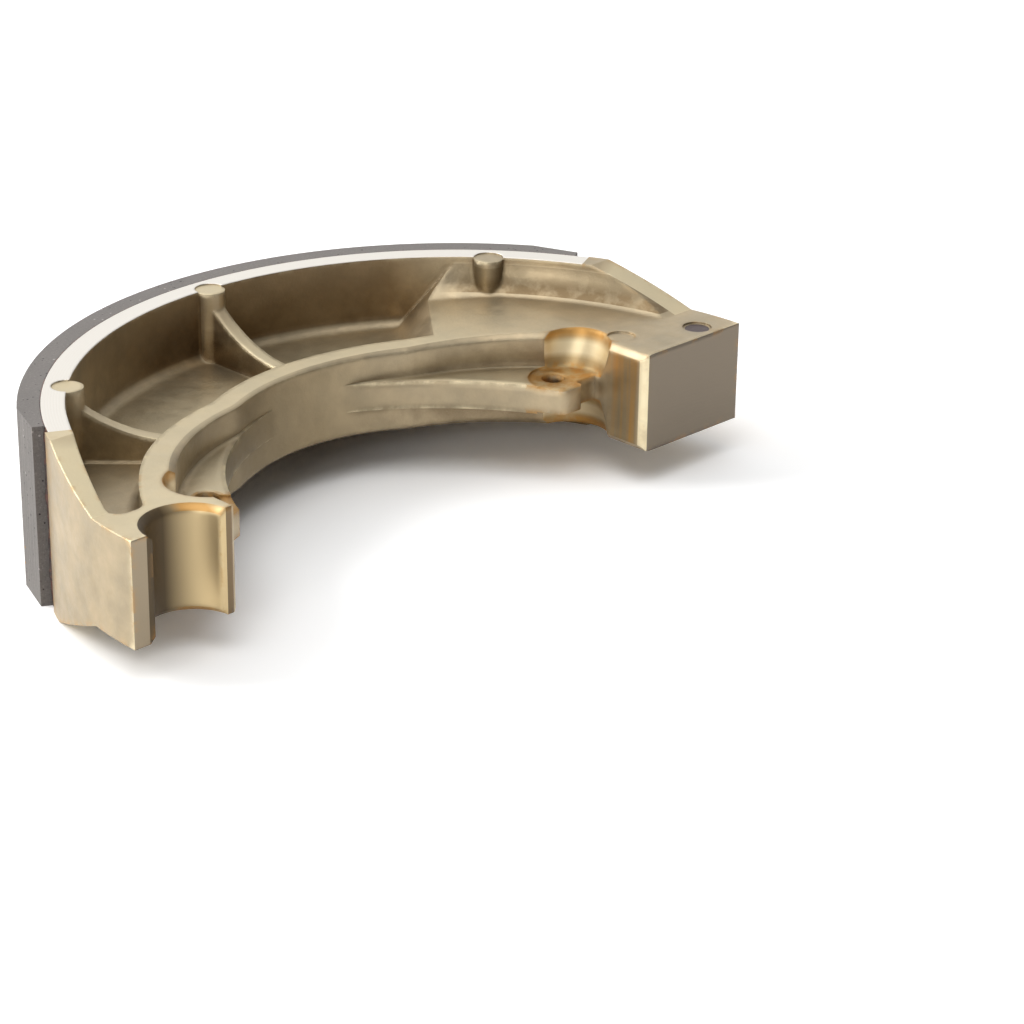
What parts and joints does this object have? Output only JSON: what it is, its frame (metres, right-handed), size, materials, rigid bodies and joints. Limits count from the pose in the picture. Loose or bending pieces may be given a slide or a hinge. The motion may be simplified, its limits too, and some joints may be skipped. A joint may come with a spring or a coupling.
{
  "type": "drum brake shoe",
  "caption": "Curved drum brake shoe: a cast aluminium body with a bonded friction lining, a cam pad and a half-round anchor seat.",
  "frame": {"origin": "the drum's axis, in the plane of the shoe's lower side", "axes": "+X along the diameter from the pivot end to the cam end, +Y out through the middle of the lining, +Z along the drum's axis"},
  "size_m": [0.1236, 0.0643, 0.028],
  "materials": {
    "casting": "satin",
    "lining": "matte",
    "adhesive": "matte"
  },
  "bodies": {
    "root": {"shoe_casting": "casting", "friction_lining": "lining", "bond_film": "adhesive"}
  },
  "joints": []
}
